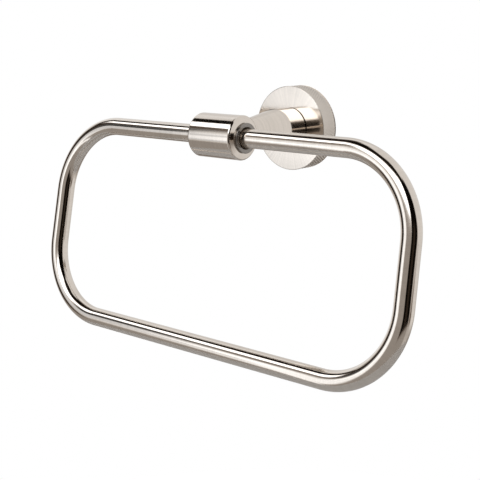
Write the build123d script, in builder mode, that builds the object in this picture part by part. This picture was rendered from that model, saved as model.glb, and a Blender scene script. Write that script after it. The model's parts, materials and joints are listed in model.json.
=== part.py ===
"""Wall-mounted towel ring: a bent bar that swings in a collar on a turned arm, over a round wall rose.

Frame: X along the ring's top bar, Y into the wall, Z up. The origin is the centre of the rose on the
wall plane, so the whole object lies on the -Y side. Millimetres.
"""

import os
from math import cos, radians, sin

from build123d import *

# Ring: one round bar bent to a rounded rectangle, sizes between centrelines
bar_diameter = 10.0
ring_width = 240.0
ring_height = 110.0
ring_corner_radius = 40.0
ring_tilt = 10.0  # degrees, the lower bar stands away from the wall
ring_end_gap = 2.0  # between the two ends of the bar, inside the collar
ring_end_chamfer = 0.8

# Groove near each end of the bar, in which the bush's snap rib runs
groove_depth = 0.6
groove_side_clearance = 0.15

# Arm: post, conical neck and cross collar in one piece
axis_projection = 69.5  # wall plane to the ring's axis
post_diameter = 23.6
post_length = 13.3  # from the rose's face to the start of the neck
post_base_relief = 0.6  # depth and length of the shadow gap between the post and the rose
post_edge_radius = 3.0  # softens the shallow edge between the post and the neck
neck_tip_diameter = 12.4  # where the neck reaches the collar
collar_diameter = 23.6
collar_length = 29.2  # between its outer edges
collar_edge = 0.6
collar_nose = 0.7  # height of the low cone on each end
collar_land_overlap = 0.2  # of the flat seat round the bush's flange

# Bushes: flanged plastic sleeves in the collar's bore
bush_wall = 1.4
bush_depth = 10.7  # of the sleeve inside the collar
bush_foot_overlap = 0.85  # of the flange's foot over the collar's end, all round
bush_flange_overlap = 1.45  # of the flange's lip, to which the foot flares out
bush_flange_thickness = 1.65
bush_lip_thickness = 0.5
bush_lip_edge = 0.25
bush_dish_depth = 0.15
bush_mouth_overlap = 0.85  # of the mouth's radius over the bore's
bush_mouth_depth = 1.4  # from the dished face
bush_rib_width = 1.0
running_clearance = 0.1  # between the bar and the bush, on the radius
seat_clearance = 0.05  # between fixed round fits, on the radius

# Wall rose: a cup open towards the wall
rose_diameter = 48.0
rose_thickness = 12.0
rose_front_wall = 4.0
rose_rim_wall = 3.0
rose_front_edge = 0.3
rose_back_edge = 0.4

# Spigot of the arm in the rose's front wall, with two flats against turning
spigot_diameter = 12.0
spigot_across_flats = 10.0
spigot_relief = 0.3  # the spigot stops short of the wall's inner face, so the screw clamps the wall

# Screw and washer that hold the arm to the rose
post_screw_diameter = 6.0
post_screw_length = 14.0
post_screw_head_diameter = 10.5
post_screw_head_height = 3.3
post_screw_head_edge = 0.8
post_screw_hex = 4.0
post_screw_hex_depth = 2.0
post_hole_spare_depth = 1.5
washer_diameter = 18.0
washer_thickness = 1.6
washer_hole_clearance = 0.2

# Wall bracket: a disc whose edge is undercut towards the wall
bracket_front_gap = 0.4  # between the bracket's face and the washer
bracket_side_clearance = 0.4
bracket_undercut = 1.8
bracket_centre_clearance = 1.75  # round the screw's head
bracket_hole_diameter = 4.5
bracket_countersink_diameter = 8.6
bracket_hole_edge_distance = 4.3  # from the hole's axis to the bracket's edge at the wall

# Grub screw in the underside of the rim
set_screw_diameter = 4.0
set_screw_from_wall = 3.2
set_screw_recess = 0.4
set_screw_tip_diameter = 2.4
set_screw_hex = 2.0
set_screw_hex_depth = 1.8

# Radii and stations worked out from the sizes above
bar_radius = bar_diameter / 2
bush_bore_radius = bar_radius + running_clearance
collar_bore_radius = bush_bore_radius + bush_wall + seat_clearance
bush_foot_radius = collar_bore_radius + bush_foot_overlap
bush_flange_radius = collar_bore_radius + bush_flange_overlap
collar_edge_x = collar_length / 2
collar_land_x = collar_edge_x + collar_nose
collar_land_radius = bush_flange_radius + collar_land_overlap
rib_x = collar_land_x - bush_depth + bush_rib_width / 2
groove_width = bush_rib_width + 2 * groove_side_clearance
groove_radius = bar_radius - groove_depth

cavity_depth = rose_thickness - rose_front_wall
cavity_radius = rose_diameter / 2 - rose_rim_wall
spigot_length = rose_front_wall - spigot_relief
screw_seat = cavity_depth - washer_thickness  # distance from the wall to the screw head's underside
post_hole_end = screw_seat + post_screw_length + post_hole_spare_depth

bracket_thickness = screw_seat - bracket_front_gap
bracket_front_radius = cavity_radius - bracket_side_clearance
bracket_back_radius = bracket_front_radius - bracket_undercut
bracket_centre_radius = post_screw_head_diameter / 2 + bracket_centre_clearance
bracket_hole_offset = bracket_back_radius - bracket_hole_edge_distance

ring_axis = Axis((0, -axis_projection, 0), (1, 0, 0))
ring_plane = Plane(
    origin=(0, -axis_projection, 0),
    x_dir=(1, 0, 0),
    z_dir=(0, -cos(radians(ring_tilt)), sin(radians(ring_tilt))),
)


# Wall rose
with BuildPart() as wall_rose:
    with BuildSketch(Plane.XZ):
        Circle(rose_diameter / 2)
    extrude(amount=rose_thickness)
    front_face = wall_rose.faces().sort_by(Axis.Y)[0]
    back_face = wall_rose.faces().sort_by(Axis.Y)[-1]
    chamfer(front_face.edges(), length=rose_front_edge)
    chamfer(back_face.edges(), length=rose_back_edge)
    # Hollow behind the front wall
    with BuildSketch(Plane.XZ):
        Circle(cavity_radius)
    extrude(amount=cavity_depth, mode=Mode.SUBTRACT)
    # Hole with two flats for the arm's spigot
    with BuildSketch(Plane.XZ.offset(cavity_depth)):
        Circle(spigot_diameter / 2 + seat_clearance)
        Rectangle(
            spigot_across_flats + 2 * seat_clearance,
            spigot_diameter + 2 * seat_clearance,
            mode=Mode.INTERSECT,
        )
    extrude(amount=rose_front_wall, mode=Mode.SUBTRACT)
    # Threaded hole for the grub screw, through the underside of the rim
    with BuildSketch(Plane.XY.offset(-rose_diameter / 2)):
        with Locations((0, -set_screw_from_wall)):
            Circle(set_screw_diameter / 2 + seat_clearance)
    extrude(amount=2 * rose_rim_wall, mode=Mode.SUBTRACT)
wall_rose.part.label = "wall_rose"


# Arm: the collar first, turned about the ring's axis
with BuildPart() as arm:
    collar_radius = collar_diameter / 2
    right_end = [
        (collar_edge_x - collar_edge, collar_radius),
        (collar_edge_x, collar_radius - collar_edge),
        (collar_land_x, collar_land_radius),
        (collar_land_x, 0),
    ]
    left_end = [(-x, radius) for x, radius in reversed(right_end)]
    with BuildSketch(Plane.XY):
        with BuildLine():
            Polyline(*[(x, radius - axis_projection) for x, radius in left_end + right_end], close=True)
        make_face()
    revolve(axis=ring_axis)
    # Post and neck, turned about Y; the neck runs on into the collar
    neck_start_y = -(rose_thickness + post_length)
    collar_surface_y = -(axis_projection - collar_radius)
    neck_slope = (post_diameter - neck_tip_diameter) / 2 / (neck_start_y - collar_surface_y)
    neck_end_radius = neck_tip_diameter / 2 - neck_slope * collar_radius
    with BuildSketch(Plane.XY) as profile:
        with BuildLine():
            Polyline(
                (0, -rose_thickness),
                (post_diameter / 2 - post_base_relief, -rose_thickness),
                (post_diameter / 2 - post_base_relief, -rose_thickness - post_base_relief),
                (post_diameter / 2, -rose_thickness - post_base_relief),
                (post_diameter / 2, neck_start_y),
                (neck_end_radius, -axis_projection),
                (0, -axis_projection),
                close=True,
            )
        make_face()
        post_edge = profile.vertices().sort_by_distance((post_diameter / 2, neck_start_y, 0))[0]
        fillet(post_edge, radius=post_edge_radius)
    revolve(axis=Axis.Y)
    # Spigot with two flats
    with BuildSketch(Plane.XZ.offset(rose_thickness)):
        Circle(spigot_diameter / 2)
        Rectangle(spigot_across_flats, spigot_diameter, mode=Mode.INTERSECT)
    extrude(amount=-spigot_length)
    # Bore through the collar for the bushes
    with BuildSketch(Plane.YZ):
        with Locations((-axis_projection, 0)):
            Circle(collar_bore_radius)
    extrude(amount=collar_length, both=True, mode=Mode.SUBTRACT)
    # Threaded blind hole for the post screw
    with BuildSketch(Plane.XZ.offset(rose_thickness - spigot_length)):
        Circle(post_screw_diameter / 2 + seat_clearance)
    extrude(amount=post_hole_end - (rose_thickness - spigot_length), mode=Mode.SUBTRACT)
arm.part.label = "arm"


def flanged_bush(side):
    """A bush in the collar's end on the +X side, or on the -X side where side is -1; its face is dished."""
    sleeve_radius = collar_bore_radius - seat_clearance
    flange_x = collar_land_x + bush_flange_thickness
    rib_radius = groove_radius + running_clearance
    inner_x = collar_land_x - bush_depth
    rib_end_x = inner_x + bush_rib_width
    dish_x = flange_x - bush_dish_depth

    def at(x, radius):
        return (side * x, -axis_projection + radius)

    with BuildPart() as bush:
        with BuildSketch(Plane.XY):
            with BuildLine():
                Polyline(
                    at(dish_x - bush_mouth_depth, bush_bore_radius),
                    at(rib_end_x, bush_bore_radius),
                    at(rib_end_x, rib_radius),
                    at(inner_x, rib_radius),
                    at(inner_x, sleeve_radius),
                    at(collar_land_x, sleeve_radius),
                    at(collar_land_x, bush_foot_radius),
                    at(flange_x - bush_lip_thickness, bush_flange_radius),
                    at(flange_x - bush_lip_edge, bush_flange_radius),
                    at(flange_x, bush_flange_radius - bush_lip_edge),
                    at(dish_x, bush_bore_radius + bush_mouth_overlap),
                    close=True,
                )
            make_face()
        revolve(axis=ring_axis)
    return bush


right_bush = flanged_bush(1)
right_bush.part.label = "right_bush"
left_bush = flanged_bush(-1)
left_bush.part.label = "left_bush"


# Ring: the bar swept round its loop from one end in the collar to the other
with BuildPart() as ring:
    with BuildLine(ring_plane) as loop:
        FilletPolyline(
            (ring_end_gap / 2, 0),
            (ring_width / 2, 0),
            (ring_width / 2, -ring_height),
            (-ring_width / 2, -ring_height),
            (-ring_width / 2, 0),
            (-ring_end_gap / 2, 0),
            radius=ring_corner_radius,
        )
    with BuildSketch(Plane(origin=loop.line @ 0, z_dir=loop.line % 0)):
        Circle(bar_radius)
    sweep(path=loop.line)
    end_faces = ring.faces().filter_by(GeomType.PLANE)
    chamfer(end_faces.edges(), length=ring_end_chamfer)
    # Grooves for the bushes' snap ribs
    for side in (1, -1):
        with BuildSketch(Plane.YZ.offset(side * rib_x)):
            with Locations((-axis_projection, 0)):
                Circle(bar_diameter)
                Circle(groove_radius, mode=Mode.SUBTRACT)
        extrude(amount=groove_width / 2, both=True, mode=Mode.SUBTRACT)
ring.part.label = "ring"


# Washer and post screw, inside the rose
with BuildPart() as washer:
    with BuildSketch(Plane.XZ.offset(screw_seat)):
        Circle(washer_diameter / 2)
        Circle(post_screw_diameter / 2 + washer_hole_clearance, mode=Mode.SUBTRACT)
    extrude(amount=washer_thickness)
washer.part.label = "washer"

with BuildPart() as post_screw:
    with BuildSketch(Plane.XZ.offset(screw_seat)):
        Circle(post_screw_head_diameter / 2)
    extrude(amount=-post_screw_head_height)
    head_top = post_screw.faces().sort_by(Axis.Y)[-1]
    chamfer(head_top.edges(), length=post_screw_head_edge)
    with BuildSketch(Plane.XZ.offset(screw_seat)):
        Circle(post_screw_diameter / 2)
    extrude(amount=post_screw_length)
    with BuildSketch(Plane.XZ.offset(screw_seat - post_screw_head_height)):
        RegularPolygon(post_screw_hex / 2, 6, major_radius=False)
    extrude(amount=post_screw_hex_depth, mode=Mode.SUBTRACT)
post_screw.part.label = "post_screw"


# Wall bracket: undercut disc with a clearance hole and two countersunk holes
with BuildPart() as wall_bracket:
    with BuildSketch(Plane.XY):
        with BuildLine():
            Polyline(
                (bracket_centre_radius, 0),
                (bracket_back_radius, 0),
                (bracket_front_radius, -bracket_thickness),
                (bracket_centre_radius, -bracket_thickness),
                close=True,
            )
        make_face()
    revolve(axis=Axis.Y)
    with Locations(Plane.XZ.offset(bracket_thickness)):
        with GridLocations(2 * bracket_hole_offset, 0, 2, 1):
            CounterSinkHole(
                radius=bracket_hole_diameter / 2,
                counter_sink_radius=bracket_countersink_diameter / 2,
                counter_sink_angle=90,
            )
wall_bracket.part.label = "wall_bracket"


# Grub screw: its flat tip bears on the bracket's undercut edge
undercut_slope = bracket_undercut / bracket_thickness
tip_front_y = set_screw_from_wall + set_screw_tip_diameter / 2
tip_radius = bracket_back_radius + undercut_slope * tip_front_y + seat_clearance
set_screw_head_z = rose_diameter / 2 - set_screw_recess
tip_taper = (set_screw_diameter - set_screw_tip_diameter) / 2
with BuildPart() as set_screw:
    with BuildSketch(Plane.XY.offset(-set_screw_head_z)):
        with Locations((0, -set_screw_from_wall)):
            Circle(set_screw_diameter / 2)
    extrude(amount=set_screw_head_z - tip_radius)
    tip_face = set_screw.faces().sort_by(Axis.Z)[-1]
    chamfer(tip_face.edges(), length=tip_taper)
    with BuildSketch(Plane.XY.offset(-set_screw_head_z)):
        with Locations((0, -set_screw_from_wall)):
            RegularPolygon(set_screw_hex / 2, 6, major_radius=False)
    extrude(amount=set_screw_hex_depth, mode=Mode.SUBTRACT)
set_screw.part.label = "set_screw"


os.makedirs("parts", exist_ok=True)
pieces = [
    wall_rose,
    arm,
    right_bush,
    left_bush,
    ring,
    washer,
    post_screw,
    wall_bracket,
    set_screw,
]
for piece in pieces:
    export_step(piece.part, f"parts/{piece.part.label}.step")
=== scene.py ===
"""Towel ring in satin nickel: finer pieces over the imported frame, a studio and the photo's camera."""

import json
from math import atan2, ceil, cos, hypot, pi, radians, sin, tan

import bmesh
import bpy
from mathutils import Matrix, Vector


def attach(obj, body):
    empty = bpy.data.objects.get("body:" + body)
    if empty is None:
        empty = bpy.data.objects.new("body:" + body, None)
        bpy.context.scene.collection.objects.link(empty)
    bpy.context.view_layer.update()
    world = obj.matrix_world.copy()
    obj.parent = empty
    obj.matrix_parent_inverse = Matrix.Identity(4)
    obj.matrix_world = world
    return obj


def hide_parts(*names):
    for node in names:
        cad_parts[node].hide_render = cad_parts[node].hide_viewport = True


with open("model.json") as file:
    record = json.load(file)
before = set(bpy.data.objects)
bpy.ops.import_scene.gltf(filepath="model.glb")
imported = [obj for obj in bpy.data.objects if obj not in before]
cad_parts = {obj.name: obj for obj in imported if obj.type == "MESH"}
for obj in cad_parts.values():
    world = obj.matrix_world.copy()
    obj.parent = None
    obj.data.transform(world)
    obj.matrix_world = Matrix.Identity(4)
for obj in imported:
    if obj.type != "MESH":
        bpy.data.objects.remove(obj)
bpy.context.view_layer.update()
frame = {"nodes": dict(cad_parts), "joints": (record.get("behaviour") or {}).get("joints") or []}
scene = bpy.context.scene

MM = 0.001

# Sizes of the solids that the finer pieces stand for
axis_y = frame["joints"][0]["pos_m"][1]
bar_radius = 5.0 * MM
ring_half_width = 120.0 * MM
ring_height = 110.0 * MM
ring_corner = 40.0 * MM
ring_tilt = radians(10.0)
ring_end_x = 1.0 * MM
ring_end_chamfer = 0.8 * MM
groove_x = 5.1 * MM
groove_half_width = 0.65 * MM
groove_radius = 4.4 * MM

collar_radius = 11.8 * MM
collar_half_length = 14.6 * MM
collar_nose = 0.7 * MM
collar_land_x = collar_half_length + collar_nose
collar_land_radius = 8.2 * MM
collar_edge = 0.6 * MM
collar_edge_rounding = 1.1 * MM
collar_bore = 6.55 * MM

post_radius = 11.8 * MM
post_base_relief = 0.6 * MM
post_edge = 3.0 * MM
neck_start_y = -25.3 * MM
neck_tip_radius = 6.2 * MM
neck_tip_y = axis_y + collar_radius
neck_sunk = 2.8 * MM
spigot_radius = 6.0 * MM
spigot_flat = 5.0 * MM
spigot_end_y = -8.3 * MM
screw_hole_radius = 3.05 * MM
screw_hole_end_y = -21.9 * MM

bush_bore = 5.1 * MM
bush_sleeve = 6.5 * MM
bush_foot = 7.4 * MM
bush_flange = 8.0 * MM
bush_depth = 10.7 * MM
bush_flange_thickness = 1.65 * MM
bush_lip_thickness = 0.5 * MM
bush_lip_edge = 0.25 * MM
bush_lip_rounding = 0.2 * MM
bush_dish_depth = 0.15 * MM
bush_mouth_radius = 5.95 * MM
bush_mouth_depth = 1.4 * MM
bush_mouth_rounding = 0.2 * MM
bush_rib_width = 1.0 * MM
bush_rib_radius = 4.5 * MM

rose_radius = 24.0 * MM
rose_thickness = 12.0 * MM
rose_cavity_depth = 8.0 * MM
rose_cavity_radius = 21.0 * MM
rose_front_edge = 0.35 * MM
rose_back_edge = 0.4 * MM
rose_face_y = -rose_thickness
seat_clearance = 0.05 * MM
set_screw_hole_radius = 2.05 * MM
set_screw_hole_y = -3.2 * MM
drill_overrun = 1.0 * MM

# Diamond knurl on the rose's rim, with painted shade that grows with a power of the groove's depth
knurl_teeth = 96
knurl_depth = 0.42 * MM
knurl_lean = radians(30)
knurl_samples = 6
knurl_shadow = 0.5
knurl_shadow_power = 4

# Small roundings that real edges have after finishing
soft_edge = 0.15 * MM
crisp_edge = 0.05 * MM

# Fineness of the meshes: facets round each piece and along the ring's corners, the angle of a facet in a
# rounding, the runs that get extra points beside their bends, and the angle from which an edge stays hard
bar_steps = 96
corner_steps = 56
arm_steps = 288
bush_steps = 160
drill_steps = 48
floor_steps = 96
bend_step = radians(9)
long_run = 1.0 * MM
beside_bend = 0.12 * MM
hard_angle = radians(32)

# Distance below which two places count as one
tiny = 1e-7


# Mesh helpers

def rounded_outline(corners, closed):
    """Points along an outline of (along, radius, rounding) corners, with extra points beside each bend."""
    bends = []
    count = len(corners)
    for i, (along, radius, rounding) in enumerate(corners):
        here = Vector((along, radius))
        if rounding == 0 or (not closed and i in (0, count - 1)):
            bends.append([here])
            continue
        before = (Vector(corners[i - 1][:2]) - here).normalized()
        after = (Vector(corners[(i + 1) % count][:2]) - here).normalized()
        half = before.angle(after) / 2
        centre = here + (before + after).normalized() * rounding / sin(half)
        spoke = here + before * rounding / tan(half) - centre
        end = here + after * rounding / tan(half) - centre
        turn = -spoke.angle_signed(end)
        steps = max(2, ceil(abs(turn) / bend_step))
        bends.append([centre + Matrix.Rotation(turn * k / steps, 2) @ spoke for k in range(steps + 1)])
    points = []
    for i, bend in enumerate(bends):
        points.extend(bend)
        if i == count - 1 and not closed:
            break
        start = bend[-1]
        run = bends[(i + 1) % count][0] - start
        if run.length > long_run:
            beside = run.normalized() * beside_bend
            points.append(start + beside)
            points.append(start + run - beside)
    return points


def shade(bm):
    """Smooth faces, with the hard edges kept."""
    for face in bm.faces:
        face.smooth = True
    for edge in bm.edges:
        hard = len(edge.link_faces) == 2 and edge.calc_face_angle(0) > hard_angle
        edge.smooth = not hard


def shade_mesh(mesh):
    """Shades a finished mesh."""
    bm = bmesh.new()
    bm.from_mesh(mesh)
    shade(bm)
    bm.to_mesh(mesh)
    bm.free()


def new_object(name, bm):
    """A shaded object of the mesh that was built, which is used up."""
    bmesh.ops.recalc_face_normals(bm, faces=bm.faces)
    shade(bm)
    mesh = bpy.data.meshes.new(name)
    bm.to_mesh(mesh)
    bm.free()
    made = bpy.data.objects.new(name, mesh)
    scene.collection.objects.link(made)
    return made


def skin(bm, rows, lengths, closed):
    """Faces between rows of vertices, where one vertex is a pole. U runs along the rows, V round them."""
    uv = bm.loops.layers.uv.new("brush")
    pairs = list(zip(range(len(rows)), range(1, len(rows))))
    if closed:
        pairs.append((len(rows) - 1, 0))
    for i, k in pairs:
        steps = max(len(rows[i]), len(rows[k]))
        end = lengths[k] if k else lengths[-1]
        for j in range(steps):
            spots = []
            corners = ((i, lengths[i], j), (i, lengths[i], j + 1), (k, end, j + 1), (k, end, j))
            for row, length, step in corners:
                vert = rows[row][step % len(rows[row])]
                if vert not in [s[0] for s in spots]:
                    spots.append((vert, length, step / steps))
            face = bm.faces.new([s[0] for s in spots])
            for loop, (vert, length, turn) in zip(face.loops, spots):
                loop[uv].uv = (length, turn)


def turned(name, points, closed, place, steps, flats=()):
    """A turned piece from (along, radius) points.

    Each row of flats gives a place along the piece, the largest radius that is cut there and half the
    width that is left across the flats.
    """
    bm = bmesh.new()
    rows = []
    lengths = [0.0]
    for i, point in enumerate(points):
        if i:
            lengths.append(lengths[-1] + (point - points[i - 1]).length)
        if point.y < tiny:
            rows.append([bm.verts.new(place(point.x, 0, 0))])
            continue
        row = []
        for j in range(steps):
            angle = 2 * pi * j / steps
            radius = point.y
            for along, limit, half_width in flats:
                if abs(point.x - along) < tiny and point.y <= limit + tiny:
                    radius = min(radius, half_width / max(abs(cos(angle)), tiny))
            row.append(bm.verts.new(place(point.x, radius * cos(angle), radius * sin(angle))))
        rows.append(row)
    if closed:
        lengths.append(lengths[-1] + (points[0] - points[-1]).length)
    skin(bm, rows, lengths, closed)
    return new_object(name, bm)


def flats_between(points, start, end, limit, half_width):
    """Rows of flats for the points of an outline from start to end."""
    return [(p.x, limit, half_width) for p in points if start - tiny < p.x < end + tiny]


def about_x(along, across, up):
    """Place on a piece that is turned about the collar's axis."""
    return Vector((along, axis_y + across, up))


def about_y(along, across, up):
    """Place on a piece that is turned about the post's axis."""
    return Vector((across, along, up))


def about_set_screw(along, across, up):
    """Place on a piece that is turned about the grub screw's axis."""
    return Vector((across, set_screw_hole_y + up, along))


def combine(base, other, operation):
    """Exact boolean of two closed pieces; the second is used up."""
    step = base.modifiers.new("combine", "BOOLEAN")
    step.operation = operation
    step.object = other
    step.solver = "EXACT"
    graph = bpy.context.evaluated_depsgraph_get()
    mesh = bpy.data.meshes.new_from_object(base.evaluated_get(graph))
    base.modifiers.clear()
    old = base.data
    base.data = mesh
    bpy.data.meshes.remove(old)
    bpy.data.objects.remove(other)
    shade_mesh(mesh)


# Ring: the bar along its rounded rectangle, from one end in the collar round to the other

def ring_path():
    """Stations of (x, down, heading, radius) along the bar."""
    groove_near = groove_x - groove_half_width
    groove_far = groove_x + groove_half_width
    ends = [
        (ring_end_x, bar_radius - ring_end_chamfer),
        (ring_end_x + ring_end_chamfer, bar_radius),
        (groove_near, bar_radius),
        (groove_near, groove_radius),
        (groove_far, groove_radius),
        (groove_far, bar_radius),
        (collar_half_length, bar_radius),
    ]
    half = ring_half_width - ring_corner
    drop = ring_height - ring_corner
    bend_centres = [(half, ring_corner), (half, drop), (-half, drop), (-half, ring_corner)]
    stations = [(x, 0, 0, radius) for x, radius in ends]
    for quarter, (x, down) in enumerate(bend_centres):
        for k in range(corner_steps + 1):
            heading = (quarter + k / corner_steps) * pi / 2
            on_x = x + ring_corner * sin(heading)
            on_down = down - ring_corner * cos(heading)
            stations.append((on_x, on_down, heading, bar_radius))
    stations.extend((-x, 0, 2 * pi, radius) for x, radius in reversed(ends))
    return stations


def path_lengths(stations):
    """Length along the bar at each station."""
    lengths = [0.0]
    for (x, down, *_), (next_x, next_down, *_) in zip(stations, stations[1:]):
        lengths.append(lengths[-1] + hypot(next_x - x, next_down - down))
    return lengths


def ring_bar(name):
    """The bar as rows of vertices round the path, which leans off plumb."""
    up = Vector((0, sin(ring_tilt), cos(ring_tilt)))
    right = Vector((1, 0, 0))
    out = right.cross(up)
    bm = bmesh.new()
    rows = []
    stations = ring_path()
    for x, down, heading, radius in stations:
        centre = Vector((0, axis_y, 0)) + right * x - up * down
        side = right * sin(heading) + up * cos(heading)
        row = []
        for j in range(bar_steps):
            angle = 2 * pi * j / bar_steps
            row.append(bm.verts.new(centre + radius * (side * cos(angle) + out * sin(angle))))
        rows.append(row)
    skin(bm, rows, path_lengths(stations), False)
    bm.faces.new(rows[0])
    bm.faces.new(rows[-1])
    return new_object(name, bm)


# Arm: the collar and the turned post with its neck, joined

def collar(name):
    """The cross collar, coned at both ends down to the land that a bush's flange sits on."""
    end = [
        (collar_half_length - collar_edge, collar_radius, collar_edge_rounding),
        (collar_half_length, collar_radius - collar_edge, collar_edge_rounding),
        (collar_land_x, collar_land_radius, crisp_edge),
        (collar_land_x, collar_bore, soft_edge),
    ]
    other_end = [(-x, radius, rounding) for x, radius, rounding in reversed(end)]
    return turned(name, rounded_outline(end + other_end, True), True, about_x, arm_steps)


def post(name):
    """The post from the neck's tip, sunk in the collar, to the spigot with two flats and a screw hole."""
    slope = (post_radius - neck_tip_radius) / (neck_start_y - neck_tip_y)
    sunk_y = neck_tip_y - neck_sunk
    gap_y = rose_face_y - post_base_relief
    gap_radius = post_radius - post_base_relief
    outline = rounded_outline(
        [
            (sunk_y, 0, 0),
            (sunk_y, neck_tip_radius - slope * neck_sunk, 0),
            (neck_start_y, post_radius, post_edge),
            (gap_y, post_radius, crisp_edge),
            (gap_y, gap_radius, 0),
            (rose_face_y, gap_radius, 0),
            (rose_face_y, spigot_radius, 0),
            (spigot_end_y, spigot_radius, 0),
            (spigot_end_y, screw_hole_radius, 0),
            (screw_hole_end_y, screw_hole_radius, 0),
            (screw_hole_end_y, 0, 0),
        ],
        False,
    )
    flats = flats_between(outline, rose_face_y, spigot_end_y, spigot_radius, spigot_flat)
    return turned(name, outline, False, about_y, arm_steps, flats)


def arm_body(name):
    made = collar(name)
    combine(made, post("post"), "UNION")
    return made


# Bushes: moulded sleeves with a round-lipped, dished flange

def bush(name, side):
    """The bush in the collar's right end, or with side -1 in its left end."""
    flange_x = collar_land_x + bush_flange_thickness
    dish_x = flange_x - bush_dish_depth
    inner_x = collar_land_x - bush_depth
    rib_x = inner_x + bush_rib_width
    corners = [
        (dish_x - bush_mouth_depth, bush_bore, bush_mouth_rounding),
        (rib_x, bush_bore, 0),
        (rib_x, bush_rib_radius, soft_edge),
        (inner_x, bush_rib_radius, soft_edge),
        (inner_x, bush_sleeve, soft_edge),
        (collar_land_x, bush_sleeve, 0),
        (collar_land_x, bush_foot, 0),
        (flange_x - bush_lip_thickness, bush_flange, soft_edge),
        (flange_x - bush_lip_edge, bush_flange, bush_lip_rounding),
        (flange_x, bush_flange - bush_lip_edge, bush_lip_rounding),
        (dish_x, bush_mouth_radius, soft_edge),
    ]
    outline = rounded_outline([(side * x, radius, rounding) for x, radius, rounding in corners], True)
    return turned(name, outline, True, about_x, bush_steps)


# Rose: a turned cup with a knurled rim, the spigot's hole and the grub screw's hole

def with_rim_rows(points, step):
    """The outline with extra points along the rim, at most one step apart."""
    filled = []
    for i, point in enumerate(points):
        filled.append(point)
        run = points[(i + 1) % len(points)] - point
        on_rim = abs(point.y - rose_radius) < tiny and abs(run.y) < tiny
        if on_rim:
            rows = ceil(run.length / step)
            filled.extend(point + run * k / rows for k in range(1, rows))
    return filled


def knurl(piece):
    """Two sets of V grooves that lean both ways across the rim, with painted shade towards their bottoms."""
    pitch = 2 * pi / knurl_teeth
    lean = tan(knurl_lean) / rose_radius
    shadow = piece.data.attributes.new("shadow", "FLOAT", "POINT")
    for vert in piece.data.vertices:
        radius = hypot(vert.co.x, vert.co.z)
        if radius < rose_radius - tiny:
            continue
        angle = atan2(vert.co.z, vert.co.x)
        depth = 0
        for way in (1, -1):
            turn = (angle + way * vert.co.y * lean) / pitch
            depth = max(depth, 2 * abs(turn - round(turn)))
        # Painted shade, darker towards the bottom of each groove
        shadow.data[vert.index].value = knurl_shadow * depth ** knurl_shadow_power
        scale = (radius - knurl_depth * depth) / radius
        vert.co.x *= scale
        vert.co.z *= scale
    shade_mesh(piece.data)


def set_screw_drill(name):
    """A rod through the rim's wall, below the rose's middle."""
    bottom = -rose_radius - drill_overrun
    top = -rose_cavity_radius + drill_overrun
    outline = [
        Vector((bottom, 0)),
        Vector((bottom, set_screw_hole_radius)),
        Vector((top, set_screw_hole_radius)),
        Vector((top, 0)),
    ]
    return turned(name, outline, False, about_set_screw, drill_steps)


def rose_cover(name):
    """The cup over the bracket, with rows along its rim that are fine enough for the knurl."""
    hole_radius = spigot_radius + seat_clearance
    hole_flat = spigot_flat + seat_clearance
    outline = rounded_outline(
        [
            (0, rose_cavity_radius, soft_edge),
            (0, rose_radius - rose_back_edge, soft_edge),
            (-rose_back_edge, rose_radius, soft_edge),
            (rose_face_y, rose_radius, rose_front_edge),
            (rose_face_y, post_radius, 0),
            (rose_face_y, post_radius - post_base_relief, 0),
            (rose_face_y, hole_radius, 0),
            (-rose_cavity_depth, hole_radius, 0),
            (-rose_cavity_depth, rose_cavity_radius, soft_edge),
        ],
        True,
    )
    tooth_step = 2 * pi * rose_radius / knurl_teeth / knurl_samples / tan(knurl_lean)
    outline = with_rim_rows(outline, tooth_step)
    flats = flats_between(outline, rose_face_y, -rose_cavity_depth, hole_radius, hole_flat)
    made = turned(name, outline, True, about_y, knurl_teeth * knurl_samples, flats)
    knurl(made)
    combine(made, set_screw_drill("drill"), "DIFFERENCE")
    return made


def darken_gap(piece):
    """Full painted shade in the narrow gap between the post's base and the rose."""
    shadow = piece.data.attributes.get("shadow")
    if shadow is None:
        shadow = piece.data.attributes.new("shadow", "FLOAT", "POINT")
    for vert in piece.data.vertices:
        above = rose_face_y - vert.co.y
        in_gap = -tiny < above < post_base_relief + tiny
        inside = hypot(vert.co.x, vert.co.z) < post_radius - post_base_relief + tiny
        if in_gap and inside:
            shadow.data[vert.index].value = 1.0


bar = ring_bar("ring_bar")
arm = arm_body("arm_body")
bush_right = bush("bush_right", 1)
bush_left = bush("bush_left", -1)
rose = rose_cover("rose_cover")
# Painted shade in the gap at the post's base, on both pieces
darken_gap(arm)
darken_gap(rose)


# Node helpers; in each, a value is a number, a colour or another node's socket

noise_range = (0.25, 0.75)
tone_middle = (0.3, 0.7)


def feed(tree, socket, value):
    """Gives a value to a socket."""
    if isinstance(value, bpy.types.NodeSocket):
        tree.links.new(value, socket)
    else:
        socket.default_value = value


def math_node(tree, operation, *values):
    node = tree.nodes.new("ShaderNodeMath")
    node.operation = operation
    for socket, value in zip(node.inputs, values):
        feed(tree, socket, value)
    return node.outputs[0]


def vector_node(tree, operation, *values, scale=None):
    node = tree.nodes.new("ShaderNodeVectorMath")
    node.operation = operation
    for socket, value in zip(node.inputs, values):
        feed(tree, socket, value)
    if scale is not None:
        feed(tree, node.inputs["Scale"], scale)
    return node.outputs["Vector"]


def split(tree, vector):
    """The three numbers of a vector."""
    node = tree.nodes.new("ShaderNodeSeparateXYZ")
    tree.links.new(vector, node.inputs["Vector"])
    return node.outputs


def object_place(tree):
    """Place on the piece, in metres."""
    return tree.nodes.new("ShaderNodeTexCoord").outputs["Object"]


def noise(tree, vector, scale=1.0, detail=2.0):
    node = tree.nodes.new("ShaderNodeTexNoise")
    node.inputs["Scale"].default_value = scale
    node.inputs["Detail"].default_value = detail
    tree.links.new(vector, node.inputs["Vector"])
    return node.outputs["Fac"]


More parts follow.
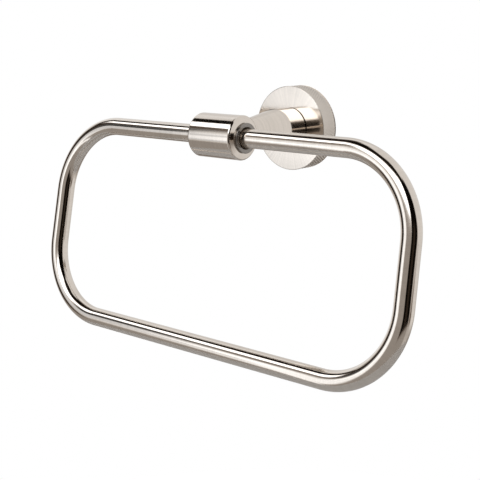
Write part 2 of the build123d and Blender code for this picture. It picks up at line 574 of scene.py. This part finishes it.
def tone_ramp(tree, tone, low, high):
    """A colour that goes from low to high over the middle of the tone's range."""
    node = tree.nodes.new("ShaderNodeValToRGB")
    for stop, position, colour in zip(node.color_ramp.elements, tone_middle, (low, high)):
        stop.position = position
        stop.color = (*colour, 1)
    tree.links.new(tone, node.inputs["Fac"])
    return node.outputs["Color"]


def stretch(tree, value, low, high):
    """A number that goes from low to high over the range that most of a noise has."""
    node = tree.nodes.new("ShaderNodeMapRange")
    node.inputs["From Min"].default_value = noise_range[0]
    node.inputs["From Max"].default_value = noise_range[1]
    node.inputs["To Min"].default_value = low
    node.inputs["To Max"].default_value = high
    tree.links.new(value, node.inputs["Value"])
    return node.outputs["Result"]


def bump(tree, height, distance):
    """Normals as bent by a height, where a height of 1 is the distance in metres."""
    node = tree.nodes.new("ShaderNodeBump")
    node.inputs["Distance"].default_value = distance
    tree.links.new(height, node.inputs["Height"])
    return node.outputs["Normal"]


def mix_shaders(tree, factor, first, second):
    """The first shader where the factor is 0, the second where it is 1."""
    node = tree.nodes.new("ShaderNodeMixShader")
    for socket, value in zip(node.inputs, (factor, first, second)):
        tree.links.new(value, socket)
    return node.outputs["Shader"]


def new_material(name):
    """A material with its node tree and its principled shader."""
    material = bpy.data.materials.new(name)
    material.use_nodes = True
    tree = material.node_tree
    return material, tree, tree.nodes["Principled BSDF"]


def bare_material(name):
    """A material with no shader yet, its node tree and the socket that takes its surface."""
    material, tree, _ = new_material(name)
    tree.nodes.clear()
    out = tree.nodes.new("ShaderNodeOutputMaterial")
    return material, tree, out.inputs["Surface"]


# Satin nickel: a cloudy tone, lines left by the brushing and, on the rose, streaks out from the middle

nickel_colour = (0.760, 0.692, 0.622)
cloud_scale = 90.0
cloud_share = 0.2
line_drift = 45.0
fan_streaks = 26.0
rough_sway = 0.15


def brush_vector(tree, lines_per_metre):
    """Coordinates that change fast along the piece and slowly round it, for lines left by the brushing."""
    uv = tree.nodes.new("ShaderNodeUVMap")
    uv.uv_map = "brush"
    along = math_node(tree, "MULTIPLY", split(tree, uv.outputs["UV"])["X"], lines_per_metre)
    lift = tree.nodes.new("ShaderNodeCombineXYZ")
    tree.links.new(along, lift.inputs["X"])
    slow = vector_node(tree, "SCALE", object_place(tree), scale=line_drift)
    return vector_node(tree, "ADD", slow, lift.outputs["Vector"])


def fan_vector(tree):
    """Coordinates that change only with the angle about Y, for streaks that run out from the middle."""
    flat = vector_node(tree, "MULTIPLY", object_place(tree), (1, 0, 1))
    unit = vector_node(tree, "NORMALIZE", flat)
    return vector_node(tree, "SCALE", unit, scale=fan_streaks)


def nickel(name, rough, spread, contrast, marks, fan=0.0):
    """Warm satin nickel, brushed round the piece.

    rough is its roughness, spread its anisotropy and contrast the range of its tone. marks are rows of
    lines per metre, share of the tone and height in metres; the last and finest also sways the roughness.
    fan is the share of streaks that run out from the middle. Painted shade from an attribute of the piece
    darkens the base colour in its grooves and gaps.
    """
    material, tree, shader = new_material(name)
    cloud = noise(tree, object_place(tree), cloud_scale, detail=3.0)
    tone = math_node(tree, "MULTIPLY", cloud, cloud_share)
    height = 0.0
    for lines_per_metre, share, depth in marks:
        line = noise(tree, brush_vector(tree, lines_per_metre))
        tone = math_node(tree, "ADD", tone, math_node(tree, "MULTIPLY", line, share))
        height = math_node(tree, "ADD", height, math_node(tree, "MULTIPLY", line, depth))
    if fan:
        streak = noise(tree, fan_vector(tree), detail=3.0)
        tone = math_node(tree, "ADD", tone, math_node(tree, "MULTIPLY", streak, fan))
    low = [c * (1 - contrast) for c in nickel_colour]
    high = [c * (1 + contrast) for c in nickel_colour]
    colour = tone_ramp(tree, tone, low, high)
    # Painted shade: the piece's attribute scales the base colour down
    shadow = tree.nodes.new("ShaderNodeAttribute")
    shadow.attribute_name = "shadow"
    lit = math_node(tree, "SUBTRACT", 1.0, shadow.outputs["Fac"])
    tangent = tree.nodes.new("ShaderNodeTangent")
    tangent.direction_type = "UV_MAP"
    tangent.uv_map = "brush"
    sway = stretch(tree, line, rough * (1 - rough_sway), rough * (1 + rough_sway))
    tree.links.new(vector_node(tree, "SCALE", colour, scale=lit), shader.inputs["Base Color"])
    tree.links.new(sway, shader.inputs["Roughness"])
    tree.links.new(bump(tree, height, 1.0), shader.inputs["Normal"])
    tree.links.new(tangent.outputs["Tangent"], shader.inputs["Tangent"])
    shader.inputs["Metallic"].default_value = 1.0
    shader.inputs["Anisotropic"].default_value = spread
    return material


# Plastic of the bushes and steel of the hidden hardware

plastic_low = (0.055, 0.049, 0.043)
plastic_high = (0.075, 0.067, 0.059)
plastic_rough = (0.16, 0.26)
plastic_index = 3.0
plastic_gloss = (1.0, 0.93, 0.86, 1)
plastic_cloud_scale = 260.0
plastic_grain_scale = 5200.0
steel_cloud_scale = 180.0
steel_rough_sway = 0.06
scratch_lines = 5200
scratch_drift = 300
grain_height = 2e-6


def moulded_plastic(name):
    """Dark plastic with a cloudy tone and a fine moulded grain."""
    material, tree, shader = new_material(name)
    cloud = noise(tree, object_place(tree), plastic_cloud_scale, detail=3.0)
    grain = noise(tree, object_place(tree), plastic_grain_scale)
    grey = tone_ramp(tree, cloud, plastic_low, plastic_high)
    tree.links.new(grey, shader.inputs["Base Color"])
    tree.links.new(stretch(tree, grain, *plastic_rough), shader.inputs["Roughness"])
    tree.links.new(bump(tree, grain, grain_height), shader.inputs["Normal"])
    shader.inputs["IOR"].default_value = plastic_index
    shader.inputs["Specular Tint"].default_value = plastic_gloss
    return material


def plated_steel(name, low, high, rough):
    """Zinc or stainless steel with scratches in two directions and a cloudy tone between two colours."""
    material, tree, shader = new_material(name)
    scratches = []
    for axis in (0, 2):
        scale = [scratch_drift] * 3
        scale[axis] = scratch_lines
        fine = vector_node(tree, "MULTIPLY", object_place(tree), scale)
        scratches.append(noise(tree, fine))
    lines = math_node(tree, "MULTIPLY", math_node(tree, "ADD", *scratches), 0.5)
    cloud = noise(tree, object_place(tree), steel_cloud_scale, detail=4.0)
    sway = stretch(tree, lines, rough - steel_rough_sway, rough + steel_rough_sway)
    tree.links.new(tone_ramp(tree, cloud, low, high), shader.inputs["Base Color"])
    tree.links.new(sway, shader.inputs["Roughness"])
    tree.links.new(bump(tree, lines, grain_height), shader.inputs["Normal"])
    shader.inputs["Metallic"].default_value = 1.0
    return material


bar_marks = [(340, 0.35, 4e-6), (1100, 0.3, 2e-6), (5200, 0.15, 2e-7)]
arm_marks = [(850, 0.5, 3e-6), (5200, 0.3, 1.5e-7)]
rose_marks = [(1100, 0.15, 1e-6), (5200, 0.15, 4e-7)]
nickel_bar = nickel("nickel_bar", rough=0.10, spread=0.75, contrast=0.09, marks=bar_marks)
nickel_arm = nickel("nickel_arm", rough=0.10, spread=0.8, contrast=0.06, marks=arm_marks)
nickel_rose = nickel("nickel_rose", rough=0.10, spread=0.8, contrast=0.11, marks=rose_marks, fan=0.5)
plastic = moulded_plastic("bush_plastic_moulded")
bracket_zinc = plated_steel("bracket_zinc", (0.50, 0.51, 0.53), (0.64, 0.65, 0.66), rough=0.36)
screw_steel = plated_steel("screw_steel_plated", (0.46, 0.46, 0.47), (0.58, 0.58, 0.59), rough=0.30)

pieces = [
    (bar, "ring", "ring", "satin_nickel", nickel_bar),
    (arm, "arm", "wall_fitting", "satin_nickel", nickel_arm),
    (rose, "wall_rose", "wall_fitting", "satin_nickel", nickel_rose),
    (bush_right, "right_bush", "wall_fitting", "bush_plastic", plastic),
    (bush_left, "left_bush", "wall_fitting", "bush_plastic", plastic),
]
for piece, node, body, slot, material in pieces:
    piece.data.materials.clear()
    piece.data.materials.append(material)
    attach(piece, body)
    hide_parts(node)

hardware = {
    "wall_bracket": bracket_zinc,
    "post_screw": screw_steel,
    "washer": screw_steel,
    "set_screw": screw_steel,
}
for node, material in hardware.items():
    for place in frame["nodes"][node].material_slots:
        place.material = material


# Studio: a light room by direction, with bright boxes high at the front and dark flags around them. Each row
# is left, right, low, high, soft edge and level, in degrees, and lies over the rows before it.

# Left and right are azimuths, 0 in front of the wall and positive to the right; low and high, elevations
upright_panels = [
    (-195, 195, -95, -16, 10, 0.54),  # lower part of the room
    (-195, -110, -95, -23, 8, 0.22),  # low behind, left
    (150, 195, -95, -27, 8, 0.28),  # low behind, right
    (-100, 96, -95, 18, 8, 0.345),  # grey front, up to a little above level
    (-126, -97, -15, 32, 7, 0.95),  # pale strip on the left
    (-125, -100, 36, 49, 4, 0.95),  # more of it, higher up
    (-84, -50, 6, 31, 3, 0.03),  # dark flag, left
    (-84, -55, -22, 8, 5, 0.02),  # more of it, lower down
    (-74, -44, 33, 49, 3, 2.4),  # bright box, upper left
    (-46, 33, 23, 52, 4, 2.5),  # bright box, upper front
    (-80, 72, 55, 82, 3, 0.01),  # dark flag above the boxes
    (122, 160, -27, -10, 5, 0.80),  # pale patch, low behind on the right
    (98, 115, -22, -8, 3, 0.14),  # dim patch, low on the right
    (31, 92, -20, 60, 3, 0.003),  # dark flag, right
    (50, 68, -14, 18, 5, 0.03),  # a less dark part of it
]

# Left and right are angles about X, from behind the wall over the top to the front; low and high, towards +X
sideways_panels = [
    (-12, 48, -42, -12, 8, 0.72),  # behind, left
    (53, 84, -60, -12, 7, 0.92),  # pale patch, high behind on the left
    (132.5, 150, -56, -29, 3.5, 0.14),  # dark flag, high at the front left
    (132, 151, -58, -43, 3.5, 0.03),  # its darker left part
    (140, 157, -41, -29, 4, 0.26),  # its less dark right part
    (83, 107.5, -66, -12, 3, 0.004),  # dark flag overhead, left
    (72, 84, -39, -20, 3, 0.03),  # more of it, further back
    (153, 206, -48, -27, 6, 0.72),  # pale patch, front left
    (160, 194, -47, -39.5, 8, 1.42),  # its bright left part
    (165, 206, -39, -27, 5, 1.36),  # its bright right part
]
over_start = -30.0
over_end = 330.0
room_level = 0.80
white = (1, 1, 1, 1)
cool_white = (0.965, 1, 1.045, 1)

# Tint of the room at a level: warm where it is dim, cool where it is bright
room_tints = [
    (0.0, (1, 0.72, 0.52, 1)),
    (0.34, (1, 0.93, 0.87, 1)),
    (0.84, white),
    (1.2, cool_white),
]
tint_reach = 2.0

panel_inputs = ("Under", "Turn", "Rise", "Left", "Right", "Low", "High", "Edge", "Level")


def panel_group():
    """Group that lays a soft-edged patch of one level over what is under it."""
    group = bpy.data.node_groups.new("studio_panel", "ShaderNodeTree")
    for name in panel_inputs:
        group.interface.new_socket(name, in_out="INPUT", socket_type="NodeSocketFloat")
    group.interface.new_socket("Level", in_out="OUTPUT", socket_type="NodeSocketFloat")
    source = group.nodes.new("NodeGroupInput").outputs
    target = group.nodes.new("NodeGroupOutput").inputs

    def past(place, limit):
        """0 below the limit, 1 above it, with a soft edge."""
        node = group.nodes.new("ShaderNodeMapRange")
        node.interpolation_type = "SMOOTHSTEP"
        group.links.new(source[place], node.inputs["Value"])
        start = math_node(group, "SUBTRACT", source[limit], source["Edge"])
        end = math_node(group, "ADD", source[limit], source["Edge"])
        group.links.new(start, node.inputs["From Min"])
        group.links.new(end, node.inputs["From Max"])
        return node.outputs["Result"]

    across = math_node(group, "SUBTRACT", past("Turn", "Left"), past("Turn", "Right"))
    upward = math_node(group, "SUBTRACT", past("Rise", "Low"), past("Rise", "High"))
    cover = math_node(group, "MULTIPLY", across, upward)
    step = math_node(group, "SUBTRACT", source["Level"], source["Under"])
    total = math_node(group, "ADD", source["Under"], math_node(group, "MULTIPLY", step, cover))
    group.links.new(total, target["Level"])
    return group


panel = panel_group()


def lay_panels(tree, under, rows, turn, rise):
    """Level after the rows are laid over the one under them; turn and rise are what they limit."""
    level = under
    for row in rows:
        node = tree.nodes.new("ShaderNodeGroup")
        node.node_tree = panel
        for name, value in zip(panel_inputs, (level, turn, rise, *row)):
            feed(tree, node.inputs[name], value)
        level = node.outputs["Level"]
    return level


def room_tint(tree, level):
    """Colour of the room at a level, between the stops in room_tints."""
    node = tree.nodes.new("ShaderNodeValToRGB")
    stops = node.color_ramp.elements
    while len(stops) < len(room_tints):
        stops.new(1.0)
    for stop, (at_level, colour) in zip(stops, room_tints):
        stop.position = at_level / tint_reach
        stop.color = colour
    tree.links.new(math_node(tree, "DIVIDE", level, tint_reach), node.inputs["Fac"])
    return node.outputs["Color"]


def background(tree, colour, strength):
    node = tree.nodes.new("ShaderNodeBackground")
    feed(tree, node.inputs["Color"], colour)
    feed(tree, node.inputs["Strength"], strength)
    return node.outputs["Background"]


def studio_world(name):
    """The room to light and reflections, and plain white to the camera."""
    world = bpy.data.worlds.new(name)
    world.use_nodes = True
    tree = world.node_tree
    tree.nodes.clear()

    def in_degrees(operation, *values):
        return math_node(tree, "MULTIPLY", math_node(tree, operation, *values), 180 / pi)

    direction = tree.nodes.new("ShaderNodeTexCoord").outputs["Generated"]
    x, y, z = split(tree, direction)
    front = math_node(tree, "MULTIPLY", y, -1.0)
    azimuth = in_degrees("ARCTAN2", x, front)
    elevation = in_degrees("ARCSINE", z)
    over = math_node(tree, "WRAP", in_degrees("ARCTAN2", z, y), over_end, over_start)
    lateral = in_degrees("ARCSINE", x)
    level = lay_panels(tree, room_level, upright_panels, azimuth, elevation)
    level = lay_panels(tree, level, sideways_panels, over, lateral)
    room = background(tree, room_tint(tree, level), level)
    backdrop = background(tree, white, 1.0)
    seen = tree.nodes.new("ShaderNodeLightPath").outputs["Is Camera Ray"]
    out = tree.nodes.new("ShaderNodeOutputWorld")
    tree.links.new(mix_shaders(tree, seen, room, backdrop), out.inputs["Surface"])
    return world


scene.world = studio_world("studio")


# Softbox at the front left with a dark flag above its left half, near enough that each piece mirrors it
# from its own side. The rows are as in the room, but in metres along X and Z, and the rest of it is clear.

softbox_y = -0.47
softbox_panels = [
    (-0.66, -0.40, 0.06, 0.26, 0.025, 0.05),  # dark flag
    (-0.56, -0.20, -0.16, 0.06, 0.025, 0.78),  # pale cloth
    (-0.40, -0.20, -0.11, 0.0, 0.025, 1.24),  # its bright right part
    (-0.325, -0.20, -0.11, 0.03, 0.03, 1.60),  # its brightest part
    (-0.255, -0.195, -0.42, -0.07, 0.03, 1.60),  # bright strip below
]


def softbox_cloth(name):
    """Glowing where the rows are and clear elsewhere."""
    material, tree, surface = bare_material(name)
    x, _, z = split(tree, object_place(tree))
    glow = tree.nodes.new("ShaderNodeEmission")
    glow.inputs["Color"].default_value = cool_white
    tree.links.new(lay_panels(tree, room_level, softbox_panels, x, z), glow.inputs["Strength"])
    clear = tree.nodes.new("ShaderNodeBsdfTransparent")
    cover = lay_panels(tree, 0.0, [(*row[:-1], 1.0) for row in softbox_panels], x, z)
    tree.links.new(mix_shaders(tree, cover, clear.outputs["BSDF"], glow.outputs["Emission"]), surface)
    return material


def softbox_panel(name):
    """One upright face as large as the rows reach, seen only in reflections."""
    left, right, low, high, edge, _ = zip(*softbox_panels)
    margin = max(edge)
    x_ends = (min(left) - margin, max(right) + margin)
    z_ends = (min(low) - margin, max(high) + margin)
    bm = bmesh.new()
    corners = [(0, 0), (1, 0), (1, 1), (0, 1)]
    bm.faces.new([bm.verts.new((x_ends[i], softbox_y, z_ends[k])) for i, k in corners])
    made = new_object(name, bm)
    made.visible_camera = False
    made.visible_diffuse = False
    made.visible_shadow = False
    made.data.materials.append(softbox_cloth("softbox_cloth"))
    return made


softbox = softbox_panel("softbox")


# Floor: a plain pale disc well below the ring, lifted towards white for the camera

floor_z = -0.43
floor_radius = 0.5
floor_colour = (0.58, 0.575, 0.57, 1)
floor_lift = 0.8


def pale_floor(name):
    """Plain diffuse grey that takes shadows, with light added for the camera alone."""
    material, tree, surface = bare_material(name)
    pale = tree.nodes.new("ShaderNodeBsdfDiffuse")
    pale.inputs["Color"].default_value = floor_colour
    lift = tree.nodes.new("ShaderNodeEmission")
    seen = tree.nodes.new("ShaderNodeLightPath").outputs["Is Camera Ray"]
    tree.links.new(math_node(tree, "MULTIPLY", seen, floor_lift), lift.inputs["Strength"])
    both = tree.nodes.new("ShaderNodeAddShader")
    tree.links.new(pale.outputs["BSDF"], both.inputs[0])
    tree.links.new(lift.outputs["Emission"], both.inputs[1])
    tree.links.new(both.outputs["Shader"], surface)
    return material


def floor_disc(name):
    bm = bmesh.new()
    bmesh.ops.create_circle(bm, cap_ends=True, segments=floor_steps, radius=floor_radius)
    made = new_object(name, bm)
    made.location.z = floor_z
    made.data.materials.append(pale_floor("pale_floor"))
    return made


floor = floor_disc("floor")


# Camera at the photo's place; the focal length and the optical axis's row are in the photo's pixels

picture = 480
focal_pixels = 1023.3
optical_row = 120
camera_place = (0.35806, -0.47023, 0.05742)
camera_down = 5.198
camera_turn = 40.792


def photo_camera(name):
    lens = bpy.data.cameras.new(name)
    lens.lens = focal_pixels * lens.sensor_width / picture
    lens.shift_y = (optical_row - picture / 2) / picture
    lens.clip_start = 0.01
    made = bpy.data.objects.new(name, lens)
    made.location = camera_place
    made.rotation_euler = (radians(90 - camera_down), 0, radians(camera_turn))
    scene.collection.objects.link(made)
    return made


scene.camera = photo_camera("camera")
scene.view_settings.view_transform = "Standard"
